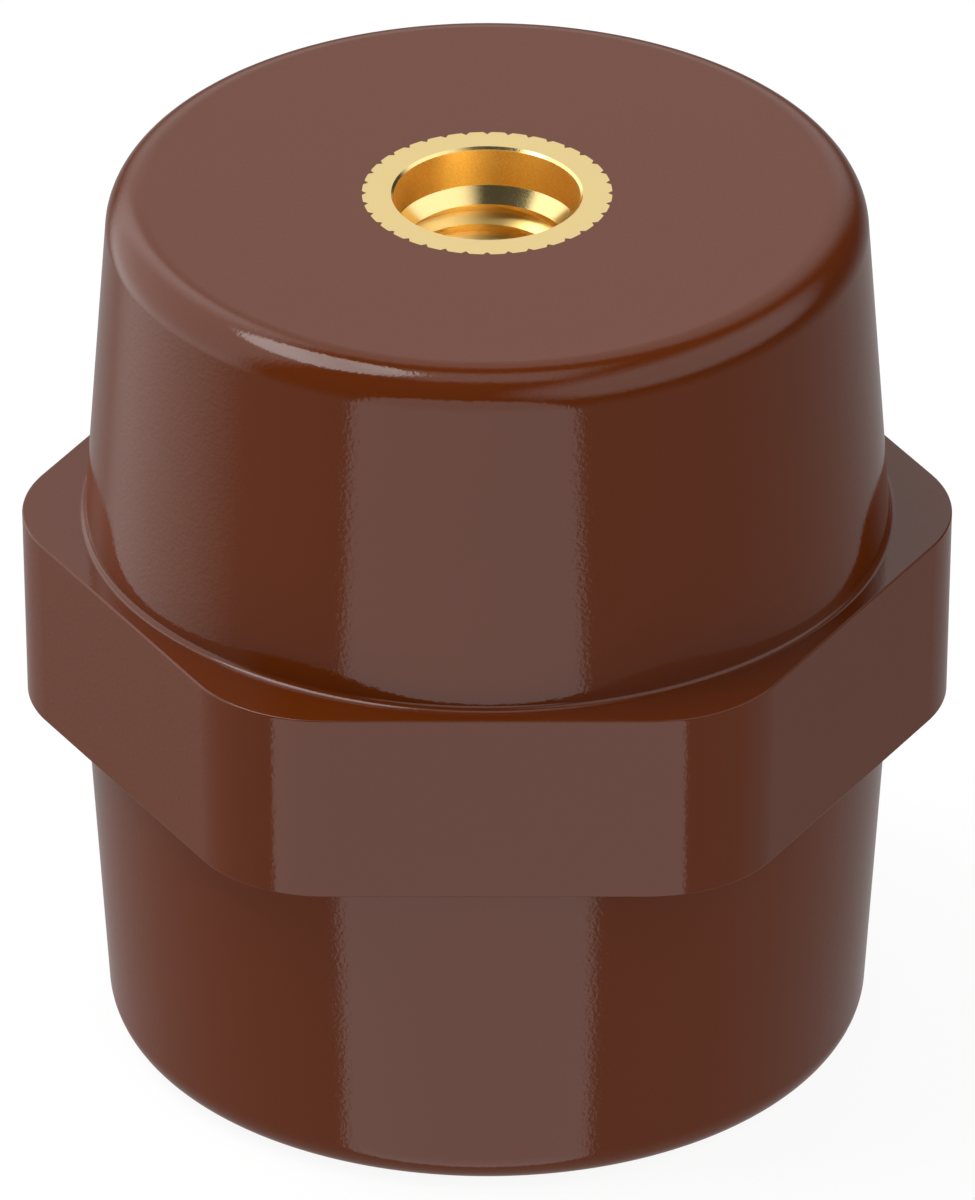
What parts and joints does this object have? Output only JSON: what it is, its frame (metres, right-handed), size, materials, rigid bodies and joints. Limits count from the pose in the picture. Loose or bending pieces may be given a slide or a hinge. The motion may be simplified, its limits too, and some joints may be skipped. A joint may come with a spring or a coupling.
{
  "type": "standoff insulator",
  "caption": "Moulded standoff insulator: tapered round body, hexagon collar and a threaded brass insert in each end, to hold a busbar off its support.",
  "frame": {"origin": "centre of the lower end face", "axes": "+Z along the axis towards the upper end; a flat of the hexagon collar faces -Y and another +Y, and its corners lie on +X and -X"},
  "size_m": [0.05, 0.0454, 0.05],
  "materials": {
    "moulded_body": "glossy red-brown moulding compound",
    "brass_insert": "bright turned brass"
  },
  "bodies": {
    "root": {"insulator_body": "moulded_body", "top_insert": "brass_insert", "bottom_insert": "brass_insert"}
  },
  "joints": []
}
